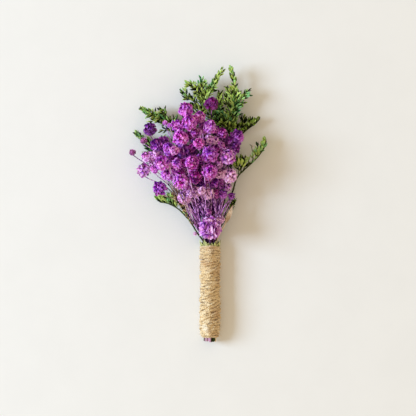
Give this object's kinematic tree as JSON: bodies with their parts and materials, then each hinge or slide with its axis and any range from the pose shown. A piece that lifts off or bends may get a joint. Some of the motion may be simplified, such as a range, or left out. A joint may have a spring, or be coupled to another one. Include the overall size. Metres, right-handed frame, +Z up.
{
  "type": "boutonniere",
  "caption": "Dried-flower boutonniere: purple double baby's breath over green sea lavender sprigs, with stems taped and bound in jute twine as a round handle. Lies on its back.",
  "frame": {"origin": "the flat underside of the twine handle, under the middle of its length", "axes": "+Y along the handle from the cut stem ends to the flowers, +Z up from the surface that it lies on, +X to the right seen from above"},
  "size_m": [0.07, 0.1404, 0.0314],
  "materials": {
    "jute_twine": "twisted hairy jute, dry and matte",
    "stem_tape": "waxed crepe paper, pale yellow-green",
    "dry_leaf": "dry straw-coloured leaf",
    "purple_bloom": "dyed papery petals, magenta to violet, on mauve stems",
    "green_sprig": "preserved olive and dark green bracts with pale edges"
  },
  "bodies": {
    "root": {"twine_wrap": "jute_twine", "stem_tape": "stem_tape", "dry_leaf": "dry_leaf", "base_bloom": "purple_bloom", "spray_near_left": "purple_bloom", "spray_near_middle_left": "purple_bloom", "spray_near_middle_right": "purple_bloom", "spray_near_right": "purple_bloom", "spray_far_left": "purple_bloom", "spray_far_middle_left": "purple_bloom", "spray_far_middle": "purple_bloom", "spray_far_middle_right": "purple_bloom", "spray_far_right": "purple_bloom", "spray_under_left": "purple_bloom", "spray_under_middle": "purple_bloom", "spray_under_right": "purple_bloom", "sprig_top_right": "green_sprig", "sprig_top_centre": "green_sprig", "sprig_top_middle": "green_sprig", "sprig_upper_left": "green_sprig", "sprig_left": "green_sprig", "sprig_right": "green_sprig", "sprig_low_right": "green_sprig", "sprig_low_left": "green_sprig", "sprig_small_right": "green_sprig"}
  },
  "joints": []
}
